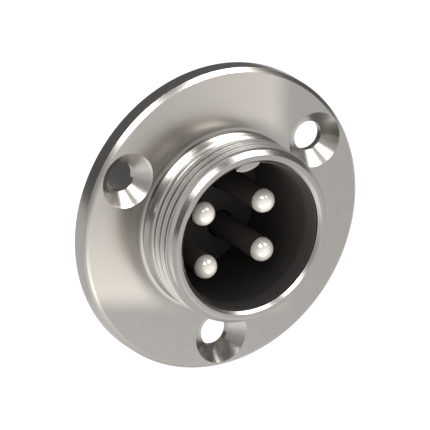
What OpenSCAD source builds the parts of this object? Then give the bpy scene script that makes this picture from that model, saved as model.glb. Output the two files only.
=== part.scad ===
// Round-flange panel receptacle: threaded metal shell, black insulator cup,
// four solid pin contacts with solder cups, clamp plate and snap ring.
// Frame: origin at the centre of the flange's back face, which sits on the
// panel. The mating end points along -Y, the solder end along +Y, +Z is up
// and the polarising key is at twelve o'clock.
// The sizes build outwards from the thread: walls inwards to the bore, and the
// countersinks and the rim outwards to the flange's edge, which comes to 32 mm.

/* [Mating barrel] */
// Major diameter of the coupling thread
thread_d = 19; // [15.5:0.1:24]
// How far the barrel's mouth stands in front of the flange's back face
mouth_reach = 8.1; // [6.7:0.1:12]
// Length of the lead taper from the lip down to the thread
lead_l = 1.2; // [0.6:0.1:1.8]
// How far that taper falls in from the thread's major diameter
lead_drop = 0.72; // [0.4:0.02:0.9]
// Radius of the fillet where the barrel meets the flange
root_fillet = 0.25; // [0.1:0.05:0.5]
// Wall between the thread's major diameter and the bore
barrel_wall = 1.56; // [1.3:0.02:2]
// Chamfer at the mouth of the bore
mouth_chamfer = 0.42; // [0.2:0.02:0.5]

/* [Flange] */
// Thickness of the flange
flange_t = 2.1; // [1.7:0.1:3]
// Chamfer on the flange's front edge
flange_chamfer = 0.43; // [0.1:0.01:0.8]
// Break on the flange's back edge
flange_break = 0.1; // [0.05:0.05:0.3]
// Metal left between a countersink and the flange's edge
flange_rim = 0.4; // [0.3:0.05:4]

/* [Fixing screws] */
// Number of fixing screws
screw_count = 3; // [2:1:4]
// Screw clearance hole diameter
screw_hole_d = 3.1; // [2.5:0.1:3.8]
// Diameter of the countersink at the flange's face, 90 degrees
csk_d = 5.9; // [4.9:0.1:7]
// Gap between the barrel and a countersink
screw_gap = 0.2; // [0.15:0.05:3]

/* [Rear barrel] */
// How far the rear barrel stands behind the flange's back face
rear_reach = 8.7; // [7.2:0.1:14]
// Wall of the rear barrel around its counterbore
rear_wall = 1; // [0.8:0.1:1.5]
// Chamfer on the rear barrel's outer edge
rear_chamfer = 0.5; // [0.2:0.1:0.6]
// Chamfer at the mouth of the counterbore
counter_chamfer = 0.3; // [0.1:0.05:0.35]
// Step from the bore out to the counterbore, where the insulator seats
shoulder_step = 0.56; // [0.4:0.02:0.8]
// Metal left behind the snap ring's groove
ring_land = 0.8; // [0.6:0.1:1.5]

/* [Key] */
// Radius of the half-round key
key_r = 1.6; // [1.3:0.05:1.9]
// How far the key stands in from the bore
key_rise = 0.99; // [0.8:0.01:1.2]
// Distance of the key's end face behind the lip
key_setback = 0.43; // [0.42:0.01:1.5]
// Length of the key
key_l = 10; // [6:0.5:12]
// Bevel round the key's end
key_bevel = 0.18; // [0.05:0.01:0.3]

/* [Insulator] */
// Wall thickness of the cup
cup_wall = 0.4; // [0.3:0.05:0.7]
// Thickness of the cup's wall at its rim
rim_t = 0.1; // [0.08:0.02:0.3]
// Length over which the cup flares out to that rim
rim_flare = 1.5; // [0.5:0.1:3]
// Distance of the cup's rim behind the bore's chamfer
cup_setback = 0.05; // [0.04:0.01:0.4]
// Thickness of the cup's floor
floor_t = 2; // [1.6:0.1:3]
// Thickness of the shoulder that stops on the shell's step
shoulder_t = 1.2; // [1:0.1:1.5]
// Thickness of the clamp plate
plate_t = 1.3; // [1:0.1:2]
// Gap round each solder cup in the clamp plate's back
well_gap = 0.15; // [0.1:0.05:0.3]
// Depth of that gap
well_depth = 0.4; // [0.2:0.1:0.6]

/* [Contacts] */
// Pin diameter
pin_d = 2.5; // [2:0.1:3]
// Distance of the pin tips behind the lip
pin_setback = 2.53; // [1.5:0.01:5]
// Distance of the two upper pins in from the cup's wall
upper_inset = 3.45; // [2.8:0.05:4.2]
// Angle of the two upper pins above the horizontal
upper_angle = 30.4; // [25:0.1:37]
// Distance of the lower right pin in from the cup's wall
right_inset = 2.88; // [2.3:0.02:3.5]
// Angle of the lower right pin below the horizontal
right_angle = 43.7; // [36:0.1:53]
// Distance of the lower left pin in from the cup's wall
left_inset = 2.55; // [2.1:0.05:3.2]
// Angle of the lower left pin below the horizontal
left_angle = 49.1; // [41:0.1:59]
// How far a contact's shank stands out from its pin, inside the floor
shank_step = 0.2; // [0.16:0.02:0.3]
// How far its locking collar stands out from its pin
collar_step = 0.4; // [0.3:0.05:0.5]
// Thickness of that collar
collar_t = 0.8; // [0.6:0.1:1]
// Diameter of the stem through the clamp plate
stem_d = 2.2; // [1.8:0.1:2.6]
// Outer diameter of the solder cup
solder_d = 2.6; // [2.2:0.1:3.2]
// Wall of the solder cup
solder_wall = 0.4; // [0.3:0.05:0.5]
// How far the solder cups stand behind the clamp plate
solder_reach = 5.2; // [4.3:0.1:7]
// Solid length at the root of the solder cup
solder_root = 1.2; // [0.8:0.1:2]

/* [Snap ring] */
// Thickness of the ring
ring_t = 0.8; // [0.6:0.1:1]
// Radial width of the ring
ring_w = 1.2; // [1:0.1:1.5]
// Depth of its groove in the counterbore
groove_depth = 0.4; // [0.3:0.05:0.5]
// Opening angle between the ring's ends
ring_gap = 36; // [20:2:60]
// Radius of the eyes for the pliers
eye_r = 0.95; // [0.8:0.05:1.15]
// Diameter of the holes in those eyes
eye_hole_d = 1; // [0.8:0.1:1.2]

/* [Fits] */
// Radial clearance of the insulator parts and the ring in the shell
slip = 0.03; // [0.02:0.01:0.06]
// Clearance of the key in its slot
key_slip = 0.1; // [0.06:0.02:0.16]
// Axial clearance of the snap ring in its groove
ring_slip = 0.04; // [0.02:0.01:0.08]

/* [Hidden] */
$fn = 96;
eps = 0.01;

// radii, from the axis outwards
thread_r = thread_d / 2;
lip_r = thread_r - lead_drop;
bore_r = thread_r - barrel_wall;
counter_r = bore_r + shoulder_step;
rear_r = counter_r + rear_wall;
hole_r = screw_hole_d / 2;
csk_r = csk_d / 2;
screw_r = max(thread_r, rear_r) + screw_gap + csk_r;
flange_r = screw_r + csk_r + flange_rim;
cup_r = bore_r - slip;
wall_r = cup_r - cup_wall;
pin_r = pin_d / 2;
solder_r = solder_d / 2;

// stations in front of the flange's back face
key_front = mouth_reach - key_setback;
key_back = key_front - key_l;
rim_w = mouth_reach - mouth_chamfer - cup_setback;
tip_w = mouth_reach - pin_setback;

// stations behind it, from the rear end forwards
groove_back = rear_reach - ring_land;
plate_back = groove_back - ring_t - ring_slip;
shoulder_back = plate_back - plate_t;
step_depth = shoulder_back - shoulder_t;
floor_depth = shoulder_back - floor_t;
solder_back = plate_back + solder_reach;

// Contact axes, seen from the mating side: [distance from the axis, turn]
contact_at = [
  [wall_r - upper_inset, 180 - upper_angle],
  [wall_r - upper_inset, upper_angle],
  [wall_r - right_inset, -right_angle],
  [wall_r - left_inset, 180 + left_angle]
];

// Stands a part that was drawn along its own axis on the panel's frame
module along_axis() {
  rotate([90, 0, 0]) children();
}

// Carries a shape out to one contact's axis without turning it
module at_contact(p) {
  translate([p[0] * cos(p[1]), p[0] * sin(p[1]), 0]) children();
}

// Round bar between two stations on the axis
module bar(r, from, to) {
  translate([0, 0, from]) cylinder(r = r, h = to - from);
}

// Half section of the shell, radius across and station up
module shell_section() {
  difference() {
    polygon([
      [0, -rear_reach], [rear_r - rear_chamfer, -rear_reach], [rear_r, rear_chamfer - rear_reach],
      [rear_r, 0], [flange_r - flange_break, 0], [flange_r, flange_break],
      [flange_r, flange_t - flange_chamfer], [flange_r - flange_chamfer, flange_t],
      [thread_r + root_fillet, flange_t], [thread_r, flange_t + root_fillet],
      [thread_r, mouth_reach - lead_l], [lip_r, mouth_reach], [0, mouth_reach]
    ]);
    polygon([
      [-1, -rear_reach - 1], [counter_r + counter_chamfer, -rear_reach - 1],
      [counter_r + counter_chamfer, -rear_reach], [counter_r, counter_chamfer - rear_reach],
      [counter_r, -step_depth], [bore_r, -step_depth],
      [bore_r, mouth_reach - mouth_chamfer], [bore_r + mouth_chamfer, mouth_reach],
      [bore_r + mouth_chamfer, mouth_reach + 1], [-1, mouth_reach + 1]
    ]);
    // groove for the snap ring
    translate([counter_r - 1, -groove_back]) square([1 + groove_depth, ring_t + ring_slip]);
  }
  // fillet at the root of the mating barrel
  difference() {
    translate([thread_r - 0.3, flange_t - 0.3]) square(0.3 + root_fillet);
    translate([thread_r + root_fillet, flange_t + root_fillet]) circle(r = root_fillet);
  }
}

// Countersunk screw hole, straight above the flange's face
module screw_hole() {
  rotate_extrude() polygon([
    [0, -1], [hole_r, -1], [hole_r, flange_t - csk_r + hole_r],
    [csk_r + eps, flange_t + eps], [csk_r + eps, flange_t + 1], [0, flange_t + 1]
  ]);
}

// Half-round key inside the barrel
module key_bar(grow, from, to) {
  translate([0, bore_r - key_rise + key_r, 0]) bar(key_r + grow, from, to);
}

module shell() {
  color([0.72, 0.71, 0.69]) along_axis() {
    difference() {
      rotate_extrude() shell_section();
      for (i = [0 : screw_count - 1])
        rotate([0, 0, 270 + i * 360 / screw_count]) translate([screw_r, 0, 0]) screw_hole();
    }
    // key, rooted half way into the barrel's wall
    intersection() {
      union() {
        key_bar(0, key_back, key_front - key_bevel);
        translate([0, bore_r - key_rise + key_r, key_front - key_bevel])
          cylinder(r1 = key_r, r2 = key_r - key_bevel, h = key_bevel);
      }
      bar(bore_r + barrel_wall / 2, key_back - 1, key_front + 1);
    }
  }
}

module insulator() {
  color([0.1, 0.1, 0.1]) along_axis() difference() {
    rotate_extrude() difference() {
      polygon([
        [0, -shoulder_back], [counter_r - slip, -shoulder_back], [counter_r - slip, -step_depth],
        [cup_r, -step_depth], [cup_r, rim_w], [0, rim_w]
      ]);
      polygon([
        [-1, -floor_depth], [wall_r, -floor_depth], [wall_r, rim_w - rim_flare],
        [cup_r - rim_t, rim_w], [cup_r - rim_t, rim_w + 1], [-1, rim_w + 1]
      ]);
    }
    key_bar(key_slip, key_back - 2 * key_slip, rim_w + 1);
    for (p = contact_at) at_contact(p) {
      bar(pin_r + shank_step, -shoulder_back - 1, -floor_depth + 1);
      bar(pin_r + collar_step, -shoulder_back - 1, collar_t - shoulder_back);
    }
  }
}

module clamp_plate() {
  color([0.12, 0.12, 0.12]) along_axis() difference() {
    bar(counter_r - slip, -plate_back, -shoulder_back);
    for (p = contact_at) at_contact(p) bar(stem_d / 2, -plate_back - 1, -shoulder_back + 1);
    // shallow wells that keep solder off the plate's face
    for (p = contact_at) at_contact(p) bar(solder_r + well_gap, -plate_back - 1, well_depth - plate_back);
  }
}

// Solid contact: ball-nosed pin, shank, locking collar, stem and solder cup
module contact(p) {
  color([0.82, 0.8, 0.77]) along_axis() at_contact(p) difference() {
    rotate_extrude() intersection() {
      union() {
        translate([0, tip_w - pin_r]) circle(r = pin_r);
        polygon([
          [0, -solder_back], [solder_r, -solder_back],
          [solder_r, well_depth - plate_back], [stem_d / 2, well_depth - plate_back],
          [stem_d / 2, -shoulder_back], [pin_r + collar_step, -shoulder_back],
          [pin_r + collar_step, collar_t - shoulder_back], [pin_r + shank_step, collar_t - shoulder_back],
          [pin_r + shank_step, -floor_depth], [pin_r, -floor_depth],
          [pin_r, tip_w - pin_r], [0, tip_w - pin_r]
        ]);
      }
      translate([0, -solder_back - 1]) square([2 * pin_d, tip_w + solder_back + 2]);
    }
    // solder bore and the open side of the cup
    bar(solder_r - solder_wall, -solder_back - 1, -plate_back - solder_root);
    translate([-solder_d, (solder_r - solder_wall) * 0.36, -solder_back - 1])
      cube([2 * solder_d, solder_d, solder_back - plate_back - solder_root]);
  }
}

module contact_1() contact(contact_at[0]);
module contact_2() contact(contact_at[1]);
module contact_3() contact(contact_at[2]);
module contact_4() contact(contact_at[3]);

// Open ring with two eyes for the pliers
module snap_ring() {
  outer = counter_r + groove_depth - slip;
  eye_at = outer - ring_w - eye_r / 4;
  eye_turn = ring_gap / 2 + 9;
  color([0.55, 0.55, 0.57]) along_axis() translate([0, 0, -plate_back - ring_t]) difference() {
    union() {
      rotate([0, 0, 270 + ring_gap / 2]) rotate_extrude(angle = 360 - ring_gap)
        translate([outer - ring_w, 0]) square([ring_w, ring_t]);
      for (s = [-1, 1]) rotate([0, 0, 270 + s * eye_turn]) translate([eye_at, 0, 0]) cylinder(r = eye_r, h = ring_t);
    }
    for (s = [-1, 1]) rotate([0, 0, 270 + s * eye_turn]) translate([eye_at, 0, -1])
      cylinder(r = eye_hole_d / 2, h = ring_t + 2);
  }
}

shell();
insulator();
clamp_plate();
contact_1();
contact_2();
contact_3();
contact_4();
snap_ring();
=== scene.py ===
import math

import bmesh
import bpy
from mathutils import Matrix, Vector


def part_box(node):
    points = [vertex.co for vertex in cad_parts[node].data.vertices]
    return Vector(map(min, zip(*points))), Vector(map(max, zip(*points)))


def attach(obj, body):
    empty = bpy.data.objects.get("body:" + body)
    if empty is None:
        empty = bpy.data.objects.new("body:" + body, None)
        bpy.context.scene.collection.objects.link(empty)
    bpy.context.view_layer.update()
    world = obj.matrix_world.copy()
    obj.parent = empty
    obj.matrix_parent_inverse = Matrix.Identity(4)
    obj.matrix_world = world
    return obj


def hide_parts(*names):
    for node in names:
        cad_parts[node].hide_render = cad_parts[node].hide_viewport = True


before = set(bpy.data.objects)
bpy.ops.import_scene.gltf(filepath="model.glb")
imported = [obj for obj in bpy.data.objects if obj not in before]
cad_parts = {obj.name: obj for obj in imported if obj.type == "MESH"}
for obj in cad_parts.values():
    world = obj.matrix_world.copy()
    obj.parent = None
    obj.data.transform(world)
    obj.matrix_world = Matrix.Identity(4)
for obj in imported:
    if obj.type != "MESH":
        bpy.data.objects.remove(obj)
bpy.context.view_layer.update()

mm = 0.001
soft, straight = "SMOOTHSTEP", "LINEAR"      # how a fade between two places runs


def hexToLinear(code):
    channels = [int(code[i:i + 2], 16) / 255 for i in (1, 3, 5)]
    return [c / 12.92 if c <= 0.04045 else ((c + 0.055) / 1.055) ** 2.4 for c in channels] + [1.0]


# adds one node and gives its outputs: an input that is a socket is linked, a hex colour or a value is set
def addNode(tree, kind, inputs=None, **settings):
    node = tree.nodes.new("ShaderNode" + kind)
    for name, value in settings.items():
        setattr(node, name, value)
    for name, value in (inputs or {}).items():
        if isinstance(value, bpy.types.NodeSocket):
            tree.links.new(value, node.inputs[name])
        else:
            node.inputs[name].default_value = hexToLinear(value) if isinstance(value, str) else value
    return node.outputs


def smoothStep(low, high, x):
    t = min(1.0, max(0.0, (x - low) / (high - low)))
    return t * t * (3 - 2 * t)


# the axis runs along Y; a station is a length along it in mm, from the flange's back towards the mating end
def onAxis(r, turn, w):
    return Vector((r * math.cos(turn), -w, r * math.sin(turn))) * mm


# first and last station of a CAD node and its widest reach from the middle
def reachOf(node):
    low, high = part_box(node)
    return round(-high.y / mm, 2), round(-low.y / mm, 2), round((high.x - low.x) / 2 / mm, 2)


# corners are (radius, station, edge rounding); the outline is closed, or open where it meets the axis
def roundedProfile(corners, steps=4):
    points = []
    total = len(corners)
    closed = corners[0][0] > 0
    for i, (r, w, rounding) in enumerate(corners):
        if rounding <= 0 or (not closed and i in (0, total - 1)):
            points.append((r, w))
            continue
        here = Vector((r, w))
        before = Vector(corners[i - 1][:2])
        after = Vector(corners[(i + 1) % total][:2])
        a, b = (before - here).normalized(), (after - here).normalized()
        half = a.angle(b) / 2
        # two roundings never meet on the edge between them
        reach = min(rounding / math.tan(half), (before - here).length * 0.49, (after - here).length * 0.49)
        radius = reach * math.tan(half)
        centre = here + (a + b).normalized() * (radius / math.sin(half))
        start, end = here + a * reach - centre, here + b * reach - centre
        turn = start.angle_signed(end)
        for k in range(steps + 1):
            p = centre + Matrix.Rotation(-turn * k / steps, 2) @ start
            points.append((p.x, p.y))
    return points


def addPiece(name, bm):
    bmesh.ops.recalc_face_normals(bm, faces=bm.faces)
    mesh = bpy.data.meshes.new(name)
    bm.to_mesh(mesh)
    bm.free()
    piece = bpy.data.objects.new(name, mesh)
    bpy.context.scene.collection.objects.link(piece)
    return piece


# turns an outline round the axis; cutAt says how much deeper a point lies at its angle
def lathe(name, points, segments, cutAt=None):
    bm = bmesh.new()
    rings = []
    for r, w in points:
        if r == 0:
            rings.append([bm.verts.new(onAxis(0, 0, w))])
            continue
        ring = []
        for k in range(segments):
            cut = cutAt(360 * k / segments, r, w) if cutAt else 0
            ring.append(bm.verts.new(onAxis(r - cut, 2 * math.pi * k / segments, w)))
        rings.append(ring)
    pairs = list(zip(rings, rings[1:]))
    if points[0][0] > 0:
        pairs.append((rings[-1], rings[0]))
    for low, high in pairs:
        for k in range(segments):
            j = (k + 1) % segments
            if len(low) == 1:
                bm.faces.new((low[0], high[j], high[k]))
            elif len(high) == 1:
                bm.faces.new((low[k], low[j], high[0]))
            else:
                bm.faces.new((low[k], low[j], high[j], high[k]))
    return addPiece(name, bm)


def makeBox(name, centre, size):
    bm = bmesh.new()
    bmesh.ops.create_cube(bm, size=1)
    place = Matrix.Translation(Vector(centre) * mm) @ Matrix.Diagonal([v * mm for v in size] + [1])
    bmesh.ops.transform(bm, matrix=place, verts=bm.verts)
    return addPiece(name, bm)


def carve(piece, tools, operation="DIFFERENCE"):
    for tool in tools:
        cut = piece.modifiers.new("cut", "BOOLEAN")
        cut.operation = operation
        cut.solver = "EXACT"
        cut.object = tool
    bpy.context.view_layer.update()
    done = bpy.data.meshes.new_from_object(piece.evaluated_get(bpy.context.evaluated_depsgraph_get()))
    piece.modifiers.clear()
    old = piece.data
    piece.data = done
    bpy.data.meshes.remove(old)
    for tool in tools:
        mesh = tool.data
        bpy.data.objects.remove(tool)
        bpy.data.meshes.remove(mesh)


def shiftPiece(piece, x, z):
    piece.data.transform(Matrix.Translation(Vector((x, 0, z)) * mm))


def finishPiece(piece, node, sharpAngle=32):
    for face in piece.data.polygons:
        face.use_smooth = True
    piece.data.set_sharp_from_angle(angle=math.radians(sharpAngle))
    weighted = piece.modifiers.new("weightedNormals", "WEIGHTED_NORMAL")
    weighted.keep_sharp = True
    weighted.weight = 100
    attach(piece, "root")
    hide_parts(node)


cameraSet = {
    "azimuth": -30.73, "elevation": 21.78,           # degrees round the part and above it
    "width": 43.364, "right": 0.4409, "down": 0.3001, "distance": 300,       # mm
    "nearest": 0.01, "farthest": 20,                 # metres
}


# a parallel view from the front left, a little above
def makeCamera():
    s = cameraSet
    a, e = math.radians(s["azimuth"]), math.radians(s["elevation"])
    back = Vector((math.sin(a) * math.cos(e), -math.cos(a) * math.cos(e), math.sin(e)))
    right = Vector((math.cos(a), math.sin(a), 0))
    up = back.cross(right)
    camera = bpy.data.objects.new("camera", bpy.data.cameras.new("camera"))
    bpy.context.scene.collection.objects.link(camera)
    camera.data.type = "ORTHO"
    camera.data.ortho_scale = s["width"] * mm
    camera.data.clip_start, camera.data.clip_end = s["nearest"], s["farthest"]
    camera.rotation_mode = "QUATERNION"
    camera.rotation_quaternion = (-back).to_track_quat("-Z", "Y")
    camera.location = (right * s["right"] - up * s["down"] + back * s["distance"]) * mm
    bpy.context.scene.camera = camera
    bpy.context.scene.view_settings.view_transform = "Standard"


makeCamera()
print("camera set")


# a new finish, with where a point lies on the part, in metres
def startFinish(name):
    material = bpy.data.materials.new(name)
    material.use_nodes = True
    tree = material.node_tree
    tree.nodes.clear()
    return material, tree, addNode(tree, "TexCoord")["Object"]


# fine lines left by a tool: noise read along one or two lengths only, so that it runs on along the others
def toolLines(tree, lengths, perMm):
    coords = addNode(tree, "CombineXYZ", dict(zip("XY", lengths)))[0]
    return addNode(tree, "TexNoise", {
        "Vector": coords, "Scale": perMm / mm, "Detail": 2.0, "Roughness": 0.6})["Fac"]


# strength of a patch: each fade runs between two places in mm along its reading, from one level to another,
# and the fades are multiplied
def patch(tree, *fades):
    strength = 1.0
    for reading, places, levels, run in fades:
        fade = addNode(tree, "MapRange", {
            "Value": reading, "From Min": places[0] * mm, "From Max": places[1] * mm,
            "To Min": levels[0], "To Max": levels[1]}, interpolation_type=run)["Result"]
        strength = addNode(tree, "Math", {0: strength, 1: fade}, operation="MULTIPLY")[0]
    return strength


# a ground colour under layers of (strength, colour)
def layColours(tree, ground, *layers):
    for strength, colour in layers:
        ground = addNode(tree, "Mix", {"Factor": strength, "A": ground, "B": colour},
                         data_type="RGBA")["Result"]
    return ground


# roughness that follows one pattern between two values, and a second one a little up and down
def unevenGloss(tree, s, broad, fine):
    low, high = s["roughness"]
    ripple = s["ripple"]
    base = addNode(tree, "MapRange", {"Value": broad, "To Min": low, "To Max": high})["Result"]
    change = addNode(tree, "MapRange", {"Value": fine, "To Min": -ripple, "To Max": ripple})["Result"]
    return addNode(tree, "Math", {0: base, 1: change}, operation="ADD")[0]


# the end of every finish: a relief, and a shader that lies on it
def endFinish(tree, relief, surface):
    bump = addNode(tree, "Bump", relief)[0]
    shader = addNode(tree, "BsdfPrincipled", {**surface, "Normal": bump})[0]
    addNode(tree, "OutputMaterial", {"Surface": shader})


# every pair in mm is where a fade begins and ends
nickelSet = {
    "colour": "#b0aca7", "cloudColour": "#a7a39e", "paintedHighlightColour": "#e3dcd2", "paintedShadeColour": "#4e4b47",
    "roughness": (0.24, 0.28), "ripple": 0.02,
    "cloudMm": 1.1,                                  # width of the cloudiness that a polishing mop leaves
    "linesPerMm": 9.0, "lineDepth": 0.0006,          # marks of the lathe's feed, and their depth in mm
    "skin": (8.69, 8.71),                            # radius past which a surface is the part's outside
    # painted highlight: a brighter patch painted on the flange's face
    "paintedHighlightFace": (1.89, 1.91), "paintedHighlightInner": (9.6, 11.4), "paintedHighlightRight": (5.6, 8.6),
    "paintedHighlightLow": (-10.6, -7.6), "paintedHighlightSlope": 0.204,
    "paintedHighlightTop": (-2, 9), "topLevel": 0.72,          # a little weaker towards the top
    # and much weaker towards the upper left
    "paintedHighlightAcross": (7, -13), "paintedHighlightUp": (-9, 9), "farReach": 0.75, "farLevel": 0.25,
    # painted shade: darker colour painted in the corner at the neck's foot and in the thread's roots
    "cornerIn": (2.15, 2.42), "cornerOut": (2.55, 2.9), "cornerUp": (1, 5), "cornerLevel": 0.85,
    "rootRadius": (9.12, 9.26), "rootFrom": (3.99, 4.01), "rootTo": (7.11, 7.13), "rootLevel": 0.75,
    # how far the burnished outside leans towards the mouth
    "neckLean": 0.62, "neckTo": 4.6, "neckFrom": 2.9, "neckLowFrom": 2.5, "neckUp": (-2, 3),
    "crestLean": 1.5, "crestIn": (4.5, 4.9), "crestOut": (6.95, 7.05), "crestRadius": (9.32, 9.34),
    "footLean": 1.9, "footIn": (2.08, 2.12), "footOut": (2.36, 2.46),
}


# painted highlight: the flange's face is painted a little brighter, up to a soft edge on the right and a
# slanting one below
def paintedHighlightPatch(tree, axes, station, radius):
    s = nickelSet
    slanting = addNode(tree, "Math", {0: axes["X"], 1: s["paintedHighlightSlope"], 2: axes["Z"]},
                       operation="MULTIPLY_ADD")[0]
    corner = patch(tree, (axes["X"], s["paintedHighlightAcross"], (0, 1), straight),
                   (slanting, s["paintedHighlightUp"], (0, 1), straight))
    far = addNode(tree, "MapRange", {"Value": corner, "From Max": s["farReach"], "To Min": 1.0,
                                     "To Max": s["farLevel"]})["Result"]
    near = patch(tree, (station, s["paintedHighlightFace"], (0, 1), straight),
                 (radius, s["paintedHighlightInner"], (0, 1), soft),
                 (axes["X"], s["paintedHighlightRight"], (1, 0), soft),
                 (slanting, s["paintedHighlightLow"], (0, 1), soft),
                 (axes["Z"], s["paintedHighlightTop"], (1, s["topLevel"]), straight))
    return addNode(tree, "Math", {0: near, 1: far}, operation="MULTIPLY")[0]


# painted shade: darker colour painted in the corner at the neck's foot, fading in towards the top, and in
# the thread's roots
def paintedShadeAtNeckAndRoots(tree, axes, station, radius, skin):
    s = nickelSet
    corner = patch(tree, (station, s["cornerIn"], (0, s["cornerLevel"]), straight),
                   (station, s["cornerOut"], (1, 0), straight),
                   (axes["Z"], s["cornerUp"], (0, 1), straight))
    root = patch(tree, (radius, s["rootRadius"], (s["rootLevel"], 0), straight),
                 (station, s["rootFrom"], (0, 1), straight),
                 (station, s["rootTo"], (1, 0), straight))
    darker = addNode(tree, "Math", {0: corner, 1: root}, operation="MAXIMUM")[0]
    return addNode(tree, "Math", {0: darker, 1: skin}, operation="MULTIPLY")[0]


# the neck behind the thread, the thread's crests and the fillet at the flange are burnished, which turns
# their shading towards the mouth
def leaningNormal(tree, axes, station, radius, skin):
    s = nickelSet
    neck = patch(tree, (station, (s["neckFrom"], s["neckTo"]), (s["neckLean"], 0), soft))
    crest = patch(tree, (station, s["crestIn"], (0, s["crestLean"]), straight),
                  (station, s["crestOut"], (1, 0), straight),
                  (radius, s["crestRadius"], (0, 1), straight))
    foot = patch(tree, (station, s["footIn"], (0, s["footLean"]), straight),
                 (station, s["footOut"], (1, 0), straight))
    # the burnishing begins nearer the flange at the bottom than at the top
    start = patch(tree, (axes["Z"], s["neckUp"], (s["neckLowFrom"] * mm, s["neckFrom"] * mm), straight))
    past = addNode(tree, "Math", {0: station, 1: start}, operation="SUBTRACT")[0]
    begun = patch(tree, (past, (-0.15, 0), (0, 1), straight))
    swept = addNode(tree, "Math", {0: neck, 1: crest}, operation="ADD")[0]
    lean = addNode(tree, "Math", {0: swept, 1: begun, 2: foot}, operation="MULTIPLY_ADD")[0]
    lean = addNode(tree, "Math", {0: lean, 1: skin}, operation="MULTIPLY")[0]
    backward = addNode(tree, "CombineXYZ", {"Y": lean})[0]
    normal = addNode(tree, "NewGeometry")["Normal"]
    leaning = addNode(tree, "VectorMath", {0: normal, 1: backward}, operation="SUBTRACT")[0]
    return addNode(tree, "VectorMath", {0: leaning}, operation="NORMALIZE")[0]


# satin nickel over turned brass: soft wide highlights, hair-fine lines that run round the axis
def satinNickel():
    s = nickelSet
    material, tree, place = startFinish("satinNickelPlateOnTurnedBrass")
    axes = addNode(tree, "SeparateXYZ", {0: place})
    station = addNode(tree, "Math", {0: axes["Y"], 1: -1.0}, operation="MULTIPLY")[0]
    flat = addNode(tree, "VectorMath", {0: place, 1: (1, 0, 1)}, operation="MULTIPLY")[0]
    radius = addNode(tree, "VectorMath", {0: flat}, operation="LENGTH")["Value"]
    skin = patch(tree, (radius, s["skin"], (0, 1), straight))
    cloud = addNode(tree, "TexNoise", {
        "Vector": place, "Scale": 1 / (s["cloudMm"] * mm), "Detail": 4.0})["Fac"]
    lines = toolLines(tree, (radius, axes["Y"]), s["linesPerMm"])
    tint = layColours(tree, s["colour"], (cloud, s["cloudColour"]),
                      # painted highlight on the flange's face
                      (paintedHighlightPatch(tree, axes, station, radius), s["paintedHighlightColour"]),
                      # painted shade at the neck's foot and in the thread's roots
                      (paintedShadeAtNeckAndRoots(tree, axes, station, radius, skin), s["paintedShadeColour"]))
    endFinish(tree, {"Height": lines, "Distance": s["lineDepth"] * mm, "Strength": 1.0,
                     "Normal": leaningNormal(tree, axes, station, radius, skin)},
              {"Base Color": tint, "Metallic": 1.0, "Roughness": unevenGloss(tree, s, cloud, lines)})
    return material


plasticSet = {
    "colour": "#2a2725", "cloudColour": "#2f2c29",
    "paintedLightTopColour": "#4d4842", "top": (-6, 8),          # painted light: paler colour painted towards the top, mm above the axis
    "floorColour": "#2f2c28", "floor": (-3.4, -3.75),         # painted light: the cup's floor painted a little paler, by station
    "roughness": (0.49, 0.61), "ripple": 0.03,
    "grainMm": 0.12,                                 # really about 0.03 mm; drawn coarser so that it shows
    "grainDepth": 0.01, "relief": 0.6, "cloudMm": 2.5, "specular": 0.2,
}


# moulded black polyester: even and matt, with the fine grain of a spark-eroded mould
def mouldedPlastic():
    s = plasticSet
    material, tree, place = startFinish("mouldedBlackPolyester")
    axes = addNode(tree, "SeparateXYZ", {0: place})
    station = addNode(tree, "Math", {0: axes["Y"], 1: -1.0}, operation="MULTIPLY")[0]
    grain = addNode(tree, "TexNoise", {
        "Vector": place, "Scale": 1 / (s["grainMm"] * mm), "Detail": 3.0})["Fac"]
    cloud = addNode(tree, "TexNoise", {
        "Vector": place, "Scale": 1 / (s["cloudMm"] * mm), "Detail": 3.0})["Fac"]
    # painted light: paler towards the top
    top = patch(tree, (axes["Z"], s["top"], (0, 1), straight))
    # painted light: a little paler on the cup's floor
    floor = patch(tree, (station, s["floor"], (0, 1), straight))
    tint = layColours(tree, s["colour"], (cloud, s["cloudColour"]), (top, s["paintedLightTopColour"]),
                      (floor, s["floorColour"]))
    endFinish(tree, {"Height": grain, "Distance": s["grainDepth"] * mm, "Strength": s["relief"]},
              {"Base Color": tint, "Roughness": unevenGloss(tree, s, grain, cloud),
               "Specular IOR Level": s["specular"]})
    return material


silverSet = {
    "colour": "#e9e4dc", "tarnish": "#dfd7cc", "cloudMm": 0.9,
    "metallic": (0.28, 1.0), "rear": (-3, -4),       # milky on the tips, full metal behind this station
    "roughness": (0.10, 0.14), "ripple": 0.015,
    "linesPerMm": 14.0, "lineDepth": 0.0003,
}


# silver plate on turned brass: sharp small highlights on a milky ground, a breath of warm tarnish
def silverPlate():
    s = silverSet
    material, tree, place = startFinish("silverPlateOnTurnedBrass")
    axes = addNode(tree, "SeparateXYZ", {0: place})
    station = addNode(tree, "Math", {0: axes["Y"], 1: -1.0}, operation="MULTIPLY")[0]
    lines = toolLines(tree, (axes["Y"],), s["linesPerMm"])
    cloud = addNode(tree, "TexNoise", {
        "Vector": place, "Scale": 1 / (s["cloudMm"] * mm), "Detail": 3.0})["Fac"]
    tint = layColours(tree, s["colour"], (cloud, s["tarnish"]))
    endFinish(tree, {"Height": lines, "Distance": s["lineDepth"] * mm, "Strength": 1.0},
              {"Base Color": tint, "Roughness": unevenGloss(tree, s, cloud, lines),
               "Metallic": patch(tree, (station, s["rear"], s["metallic"], straight))})
    return material


shaftSet = {
    "colour": "#443f39", "streakColour": "#3b3732", "roughness": (0.44, 0.56), "ripple": 0.0,
    "streaksPerMm": 4.0, "streakDepth": 0.004, "relief": 0.5, "grainMm": 0.15, "specular": 0.25,
}


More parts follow.
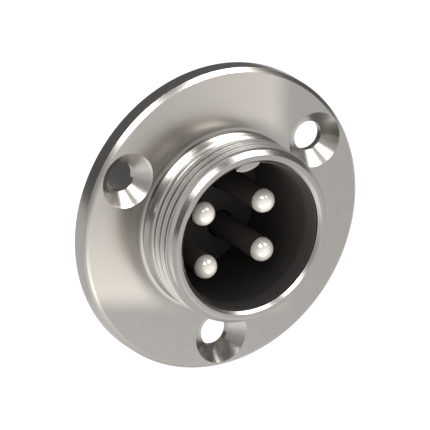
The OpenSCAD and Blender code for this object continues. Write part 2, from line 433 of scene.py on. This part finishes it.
# extruded black sleeve on each pin's shaft: matt, with faint streaks drawn along it
def darkSleeve():
    s = shaftSet
    material, tree, place = startFinish("extrudedBlackSleeve")
    axes = addNode(tree, "SeparateXYZ", {0: place})
    streaks = toolLines(tree, (axes["X"], axes["Z"]), s["streaksPerMm"])
    grain = addNode(tree, "TexNoise", {
        "Vector": place, "Scale": 1 / (s["grainMm"] * mm), "Detail": 3.0})["Fac"]
    tint = layColours(tree, s["colour"], (streaks, s["streakColour"]))
    endFinish(tree, {"Height": streaks, "Distance": s["streakDepth"] * mm, "Strength": s["relief"]},
              {"Base Color": tint, "Roughness": unevenGloss(tree, s, grain, streaks),
               "Specular IOR Level": s["specular"]})
    return material


springSet = {
    "colour": "#77777b", "oxide": "#55545a", "roughness": (0.26, 0.42), "ripple": 0.03,
    "linesPerMm": 8.0, "lineDepth": 0.0008, "oilMm": 1.6,
}


# oiled spring steel: cool dark grey, rolled streaks one way and patches where the oil lies thicker
def oiledSpringSteel():
    s = springSet
    material, tree, place = startFinish("oiledSpringSteel")
    axes = addNode(tree, "SeparateXYZ", {0: place})
    rolled = toolLines(tree, (axes["Z"], axes["Y"]), s["linesPerMm"])
    oil = addNode(tree, "TexNoise", {
        "Vector": place, "Scale": 1 / (s["oilMm"] * mm), "Detail": 3.0})["Fac"]
    tint = layColours(tree, s["colour"], (oil, s["oxide"]))
    endFinish(tree, {"Height": rolled, "Distance": s["lineDepth"] * mm, "Strength": 1.0},
              {"Base Color": tint, "Metallic": 1.0, "Roughness": unevenGloss(tree, s, oil, rolled)})
    return material


nickel = satinNickel()
blackPlastic = mouldedPlastic()
silver = silverPlate()
darkShaft = darkSleeve()
springSteel = oiledSpringSteel()
print("materials made")

# from here on sizes are in mm; the frame gives each piece's ends and its widest radius
rear, mouth, flange = reachOf("shell")
shoulderBack, cupRim, shoulder = reachOf("insulator")
plateBack, plateFront, plateRadius = reachOf("clamp_plate")
cupEnd, tip, collar = reachOf("contact_1")

shellSet = {
    "segments": 320, "holeSegments": 96,
    "edge": 0.05, "crisp": 0.02,                     # rounding left on turned edges and inside the bores
    "thickness": 2.1, "rimBevel": 0.43, "backBevel": 0.1,     # flange
    "rearBarrel": 9.5, "rearBevel": 0.5,
    "barrel": 9.4,                                   # crests of the thread, a tolerance below the solid's
    "fillet": 0.34,
    "lip": 8.78, "taper": 1.12, "taperRounding": 0.1,
    "bore": 7.94, "boreBevel": 0.31,
    "seatRadius": 8.5, "seat": -4.56, "seatBevel": 0.3,       # what the cup's shoulder rests in
    "grooveRadius": 8.9, "grooveBack": -7.9,                  # holds the snap ring behind the clamp plate
    "screwCircle": 12.65, "screwHole": 1.55, "screwAngles": (30, 150, 270),
    "sinkStart": 0.7, "sinkRadius": 2.97,                     # countersink, 45 degrees
    # right-handed thread: its grooves are counted by the degrees wound from the one at rootStation
    "threadPitch": 1.0, "threadDepth": 0.58, "threadHalfWidth": 0.36, "threadSoftness": 0.05,
    "rootStation": 7.38, "rootAngle": 142, "runOut": (-1060, -900), "runIn": (170, 250),
    "threadZone": (2.8, 8.0), "ringsFrom": 2.3, "ringStep": 0.036,       # mesh rings that carry it
}


# depth of the thread's groove at an angle, radius and station on the barrel's outside
def grooveDepth(turn, r, w):
    s = shellSet
    if not s["threadZone"][0] <= w <= s["threadZone"][1] or r < s["lip"]:
        return 0
    laps = (w - s["rootStation"]) / s["threadPitch"] - (turn - s["rootAngle"]) / 360
    lap = round(laps)
    wound = lap * 360 + turn
    strength = smoothStep(*s["runOut"], wound) * (1 - smoothStep(*s["runIn"], wound))
    # a vee with a flat root, whose top edges are softened
    inward = 1 - abs(laps - lap) * s["threadPitch"] / s["threadHalfWidth"]
    depth = s["threadSoftness"] * math.log1p(math.exp(inward / s["threadSoftness"]))
    return max(0.0, strength * s["threadDepth"] * min(depth, 1) - (s["barrel"] - r))


def makeShell():
    s = shellSet
    edge, crisp, thickness, barrel = s["edge"], s["crisp"], s["thickness"], s["barrel"]
    outline = roundedProfile([
        (s["rearBarrel"] - s["rearBevel"], rear, edge), (s["rearBarrel"], rear + s["rearBevel"], edge),
        (s["rearBarrel"], 0, crisp), (flange - s["backBevel"], 0, edge), (flange, s["backBevel"], edge),
        (flange, thickness - s["rimBevel"], edge), (flange - s["rimBevel"], thickness, edge),
        (barrel, thickness, s["fillet"]), (barrel, mouth - s["taper"], s["taperRounding"]),
        (s["lip"], mouth, edge), (s["bore"] + s["boreBevel"], mouth, edge),
        (s["bore"], mouth - s["boreBevel"], crisp), (s["bore"], s["seat"], crisp),
        (s["seatRadius"], s["seat"], crisp), (s["seatRadius"], plateBack, crisp),
        (s["grooveRadius"], plateBack, crisp), (s["grooveRadius"], s["grooveBack"], crisp),
        (s["seatRadius"], s["grooveBack"], crisp), (s["seatRadius"], rear + s["seatBevel"], edge),
        (s["seatRadius"] + s["seatBevel"], rear, edge),
    ])
    # the barrel's outside gets enough rings to carry the thread
    fine = []
    for i, (r, w) in enumerate(outline):
        fine.append((r, w))
        nextR, nextW = outline[(i + 1) % len(outline)]
        if nextW > w > s["ringsFrom"]:
            n = int((nextW - w) / s["ringStep"])
            fine += [(r + (nextR - r) * k / n, w + (nextW - w) * k / n) for k in range(1, n)]
    shell = lathe("turnedShell", fine, s["segments"], grooveDepth)
    shell.data.materials.append(nickel)
    hole, start, wide = s["screwHole"], s["sinkStart"], s["sinkRadius"]
    level = start + wide - hole
    cutters = []
    for angle in s["screwAngles"]:
        cutter = lathe("holeTool", [(0, -1), (hole, -1), (hole, start), (wide, level), (wide, level + 1),
                                    (0, level + 1)], s["holeSegments"])
        turn = math.radians(angle)
        shiftPiece(cutter, s["screwCircle"] * math.cos(turn), s["screwCircle"] * math.sin(turn))
        cutters.append(cutter)
    carve(shell, cutters)
    addKey(shell)
    finishPiece(shell, "shell")


keySet = {
    "segments": 96, "limitSegments": 192, "crisp": (0.01, 0.05, 0.02),    # roundings from back to front
    "back": -2.33, "front": 7.67, "bevel": 0.12, "bevelLength": 0.17,
    "wide": 1.45, "high": 0.55, "up": 7.64, "tilt": -12,      # degrees
    "wall": 8.7,                                     # the key stops inside the barrel's wall
}


# the pressed key inside the mouth: a round bar 1 mm in radius, made oval and set a little turned
def addKey(shell):
    s = keySet
    key = lathe("key", roundedProfile([
        (0, s["back"], 0), (1, s["back"], s["crisp"][0]), (1, s["front"] - s["bevelLength"], s["crisp"][1]),
        (1 - s["bevel"], s["front"], s["crisp"][2]), (0, s["front"], 0)]), s["segments"])
    oval = Matrix.Diagonal((s["wide"], 1, s["high"], 1))
    key.data.transform(Matrix.Rotation(math.radians(s["tilt"]), 4, "Y") @ oval)
    shiftPiece(key, 0, s["up"])
    back, front = s["back"] - 1, s["front"] + 1
    limit = lathe("limitTool", [(0, back), (s["wall"], back), (s["wall"], front), (0, front)],
                  s["limitSegments"])
    carve(key, [limit], "INTERSECT")
    carve(shell, [key], "UNION")


makeShell()
print("shell made")

contactSet = {
    "segments": 96, "boreSegments": 64, "noseSteps": 18, "edgeSteps": 3, "pin": 1.25,
    "places": ((4.06, 149.6), (4.06, 30.4), (4.63, -43.7), (4.96, 229.1)),   # radius and angle
    "step": 1.45, "collarFront": -4.96, "stem": 1.1, "cup": 1.3, "cupStart": -6.66,
    "cupBore": 0.9, "cupFloor": -8.5, "drillPoint": 0.5,
    "openAbove": 0.324, "openFrom": -9.26,           # where the solder cup's side is milled away
    "sleeve": (-3.8, 4.25), "edge": 0.05, "crisp": 0.02, "foot": 0.01,
}
pins = []
for radius, angle in contactSet["places"]:
    pins.append((radius * math.cos(math.radians(angle)), radius * math.sin(math.radians(angle))))

insulatorSet = {
    "cupSegments": 256, "plateSegments": 192, "slotSegments": 96, "wellSegments": 64,
    "edge": 0.05, "innerEdge": 0.03, "crisp": 0.02,
    "wall": 7.91, "inside": 7.51, "rim": 0.1, "flare": 1.5, "flareRounding": 2,
    "floor": -3.76, "floorFillet": 0.15, "plateEdge": 0.08,
    "slotRadius": 1.7, "slotUp": 8.55, "slotBack": -2.53,     # room for the key
    "well": 1.45,                                    # round each solder cup's root
}


def makeInsulator():
    s = insulatorSet
    seat = shellSet["seat"]
    cup = lathe("insulatorCup", roundedProfile([
        (0, shoulderBack, 0), (shoulder, shoulderBack, s["edge"]), (shoulder, seat, s["innerEdge"]),
        (s["wall"], seat, s["crisp"]), (s["wall"], cupRim, s["crisp"]),
        (s["wall"] - s["rim"], cupRim, s["innerEdge"]),
        (s["inside"], cupRim - s["flare"], s["flareRounding"]), (s["inside"], s["floor"], s["floorFillet"]),
        (0, s["floor"], 0)]), s["cupSegments"])
    back, front, r = s["slotBack"], cupRim + 1, s["slotRadius"]
    slot = lathe("slotTool", [(0, back), (r, back), (r, front), (0, front)], s["slotSegments"])
    shiftPiece(slot, 0, s["slotUp"])
    carve(cup, [slot])
    cup.data.materials.append(blackPlastic)
    finishPiece(cup, "insulator")
    print("insulator cup made")
    plate = lathe("clampPlate", roundedProfile([
        (0, plateBack, 0), (plateRadius, plateBack, s["plateEdge"]), (plateRadius, plateFront, s["edge"]),
        (0, plateFront, 0)]), s["plateSegments"])
    back, root, front = plateBack - 1, contactSet["cupStart"], plateFront + 1
    wide, narrow = s["well"], contactSet["stem"]
    wells = []
    for x, z in pins:
        well = lathe("wellTool", [(0, back), (wide, back), (wide, root), (narrow, root), (narrow, front),
                                  (0, front)], s["wellSegments"])
        shiftPiece(well, x, z)
        wells.append(well)
    carve(plate, wells)
    plate.data.materials.append(blackPlastic)
    finishPiece(plate, "clamp_plate")


makeInsulator()
print("clamp plate made")


def makeContact(number, x, z):
    s = contactSet
    edge, crisp, pin = s["edge"], s["crisp"], s["pin"]
    nose = []
    for k in range(1, s["noseSteps"]):
        rise = math.pi / 2 * k / s["noseSteps"]
        nose.append((pin * math.cos(rise), tip - pin + pin * math.sin(rise)))
    body = roundedProfile([
        (0, cupEnd, 0), (s["cup"], cupEnd, edge), (s["cup"], s["cupStart"], edge),
        (s["stem"], s["cupStart"], crisp), (s["stem"], shoulderBack, crisp),
        (collar, shoulderBack, edge), (collar, s["collarFront"], edge),
        (s["step"], s["collarFront"], crisp), (s["step"], insulatorSet["floor"], crisp),
        (pin, insulatorSet["floor"], s["foot"]), (pin, tip - pin, 0)], s["edgeSteps"])
    contact = lathe("contact%d" % number, body + nose + [(0, tip)], s["segments"])
    r, back, deep = s["cupBore"], cupEnd - 1, s["cupFloor"]
    bore = lathe("boreTool", [(0, back), (r, back), (r, deep), (0, deep + s["drillPoint"])],
                 s["boreSegments"])
    wide, long = 3 * s["cup"], s["openFrom"] - back
    side = makeBox("sideTool", (0, -back - long / 2, s["openAbove"] + wide / 2), (wide, long, wide))
    carve(contact, [bore, side])
    shiftPiece(contact, x, z)
    contact.data.materials.append(silver)
    contact.data.materials.append(darkShaft)
    for face in contact.data.polygons:
        if s["sleeve"][0] * mm < -face.center.y < s["sleeve"][1] * mm:
            face.material_index = 1
    finishPiece(contact, "contact_%d" % number)


for index, (x, z) in enumerate(pins):
    makeContact(index + 1, x, z)
print("contacts made")

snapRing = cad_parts["snap_ring"]
snapRing.data.materials.clear()
snapRing.data.materials.append(springSteel)
print("snap ring finished")

studioSet = {
    # sizes in metres; a strip lamp's left, right, front and back edges are shares of its height
    "height": 0.3, "strip": 6.0,
    "strips": {"stripRight": (0.2, 0.96, -1.0, 0.3), "stripLeft": (-0.97, -0.25, -1.2, 0.3)},
    "fill": 0.15, "fillRadius": 0.15, "fillPlace": (-0.15, -0.7, 0.15),
    "floorDrop": 0.075, "floorSize": 3, "floorColour": "#6a6a6a",
    "floorGlow": 0.95, "bounce": 2.4,                # as the camera sees it, and as matt surfaces do
    # brighter pool on the floor, as the metal sees it
    "pool": (1.7, 0.74), "poolReach": (0.04, 0.17), "poolCentre": (-0.04, -0.13, 0),
    "tentRadius": 1.4, "tentSegments": 64, "tentFoot": -0.01, "tentLift": 0.002,
    "tentFront": (-0.23, -1.17), "tentBack": 0.16,
    "tentHeight": (0.35, 0.98), "tentGlow": (0.95, 0.45),
    "sky": 1.5, "skySeen": 1.0,                      # on matt surfaces, and as the camera and metal see it
}


# an area lamp whose surface has this radiance
def addLamp(name, shape, size, area, radiance, place):
    lamp = bpy.data.lights.new(name, "AREA")
    lamp.shape = shape
    lamp.size, lamp.size_y = size
    lamp.energy = radiance * math.pi * area
    lampObject = bpy.data.objects.new(name, lamp)
    lampObject.location = place
    bpy.context.scene.collection.objects.link(lampObject)
    return lampObject


# 1 for rays of any of these kinds, otherwise 0
def rayIs(tree, *kinds):
    rays = addNode(tree, "LightPath")
    found = 0.0
    for kind in kinds:
        found = addNode(tree, "Math", {0: found, 1: rays["Is %s Ray" % kind]}, operation="MAXIMUM")[0]
    return found


def makeLamps():
    s = studioSet
    # two strips overhead that give highlights and leave matt surfaces alone
    for name, (left, right, front, back) in s["strips"].items():
        width, depth = (right - left) * s["height"], (back - front) * s["height"]
        middle = ((left + right) / 2 * s["height"], (front + back) / 2 * s["height"], s["height"])
        strip = addLamp(name, "RECTANGLE", (width, depth), width * depth, s["strip"], middle)
        strip.visible_diffuse = False
    # faint frontal fill for the plastic and the silver, kept out of the mirror finish
    r = s["fillRadius"]
    fill = addLamp("fill", "DISK", (2 * r, 2 * r), math.pi * r * r, s["fill"], s["fillPlace"])
    fill.rotation_mode = "QUATERNION"
    fill.rotation_quaternion = (-Vector(s["fillPlace"])).to_track_quat("-Z", "Y")
    fill.visible_glossy = False


# pale floor, well below the part, that keeps a soft shadow; it throws light up on matt surfaces
def makeFloor(level):
    s = studioSet
    bm = bmesh.new()
    bmesh.ops.create_grid(bm, x_segments=1, y_segments=1, size=s["floorSize"])
    floor = addPiece("floor", bm)
    floor.location.z = level
    material, tree, place = startFinish("whitePaperFloor")
    away = addNode(tree, "VectorMath", {0: place, 1: s["poolCentre"]}, operation="DISTANCE")["Value"]
    pool = addNode(tree, "MapRange", {
        "Value": away, "From Min": s["poolReach"][0], "From Max": s["poolReach"][1],
        "To Min": s["pool"][0], "To Max": s["pool"][1]}, interpolation_type=soft)["Result"]
    strength = 0.0
    for seenBy, light in ((rayIs(tree, "Glossy", "Transmission"), pool),
                          (rayIs(tree, "Camera"), s["floorGlow"]), (rayIs(tree, "Diffuse"), s["bounce"])):
        strength = addNode(tree, "Math", {0: seenBy, 1: light, 2: strength}, operation="MULTIPLY_ADD")[0]
    paper = addNode(tree, "BsdfDiffuse", {"Color": s["floorColour"]})[0]
    glow = addNode(tree, "Emission", {"Strength": strength})[0]
    both = addNode(tree, "AddShader", {0: paper, 1: glow})[0]
    addNode(tree, "OutputMaterial", {"Surface": both})
    floor.data.materials.append(material)


# half a sphere of grey flags round the part, dark behind it and paler in front, seen in reflections only
def makeTent(level):
    s = studioSet
    bm = bmesh.new()
    bmesh.ops.create_uvsphere(bm, u_segments=s["tentSegments"], v_segments=s["tentSegments"] // 2,
                              radius=s["tentRadius"])
    bmesh.ops.delete(bm, geom=[v for v in bm.verts if v.co.z < s["tentFoot"]], context="VERTS")
    tent = addPiece("tent", bm)
    tent.location.z = level
    tent.visible_camera = False
    tent.visible_shadow = False
    tent.visible_diffuse = False
    material, tree, place = startFinish("greyStudioFlags")
    axes = addNode(tree, "SeparateXYZ", {0: place})
    front = addNode(tree, "MapRange", {"Value": axes["Y"], "From Min": s["tentFront"][0],
                                       "From Max": s["tentFront"][1]})["Result"]
    high = addNode(tree, "MapRange", {
        "Value": axes["Z"], "From Min": s["tentHeight"][0], "From Max": s["tentHeight"][1],
        "To Min": s["tentGlow"][0], "To Max": s["tentGlow"][1]})["Result"]
    strength = addNode(tree, "Mix", {"Factor": front, "A": s["tentBack"], "B": high},
                       data_type="FLOAT")["Result"]
    glow = addNode(tree, "Emission", {"Strength": strength})[0]
    addNode(tree, "OutputMaterial", {"Surface": glow})
    tent.data.materials.append(material)


def makeSky():
    s = studioSet
    world = bpy.data.worlds.new("paleStudio")
    bpy.context.scene.world = world
    world.use_nodes = True
    tree = world.node_tree
    tree.nodes.clear()
    seen = rayIs(tree, "Camera", "Glossy", "Transmission")
    strength = addNode(tree, "MapRange", {
        "Value": seen, "To Min": s["sky"], "To Max": s["skySeen"]})["Result"]
    sky = addNode(tree, "Background", {"Strength": strength})[0]
    addNode(tree, "OutputWorld", {"Surface": sky})


floorLevel = -flange * mm - studioSet["floorDrop"]
makeLamps()
makeFloor(floorLevel)
makeTent(floorLevel + studioSet["tentLift"])
makeSky()
print("studio made")
